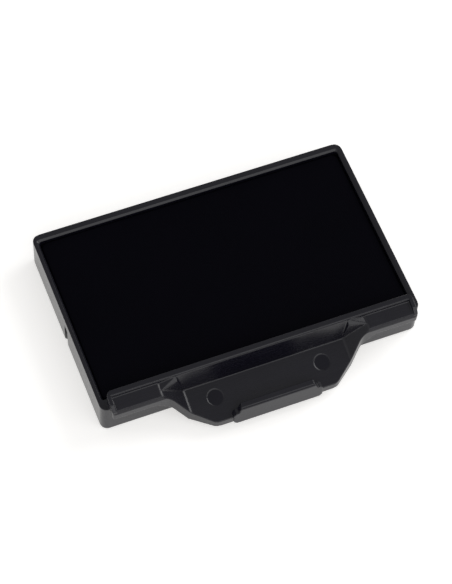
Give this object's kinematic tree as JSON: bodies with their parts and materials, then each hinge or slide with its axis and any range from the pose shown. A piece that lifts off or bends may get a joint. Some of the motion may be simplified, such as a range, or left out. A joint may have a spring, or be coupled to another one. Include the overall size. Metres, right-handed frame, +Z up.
{
  "type": "self-inking stamp ink pad cartridge",
  "caption": "Slide-in ink pad cartridge: a shallow rectangular tray with an inked felt and cloth pad, a raised front lip and a sloping thumb grip.",
  "frame": {"origin": "centre of the tray's flat base, without the grip", "axes": "+X along the tray's length, -Y towards the thumb grip, +Z up, out of the inking face"},
  "size_m": [0.065, 0.0493, 0.011],
  "materials": {
    "tray_plastic": "satin black injection-moulded plastic with a very fine texture",
    "ink_felt": "dense felt soaked with black ink",
    "ink_cloth": "fine plain-weave cloth, wet with black ink"
  },
  "bodies": {
    "root": {"tray": "tray_plastic", "ink_core": "ink_felt", "cover_cloth": "ink_cloth"}
  },
  "joints": []
}
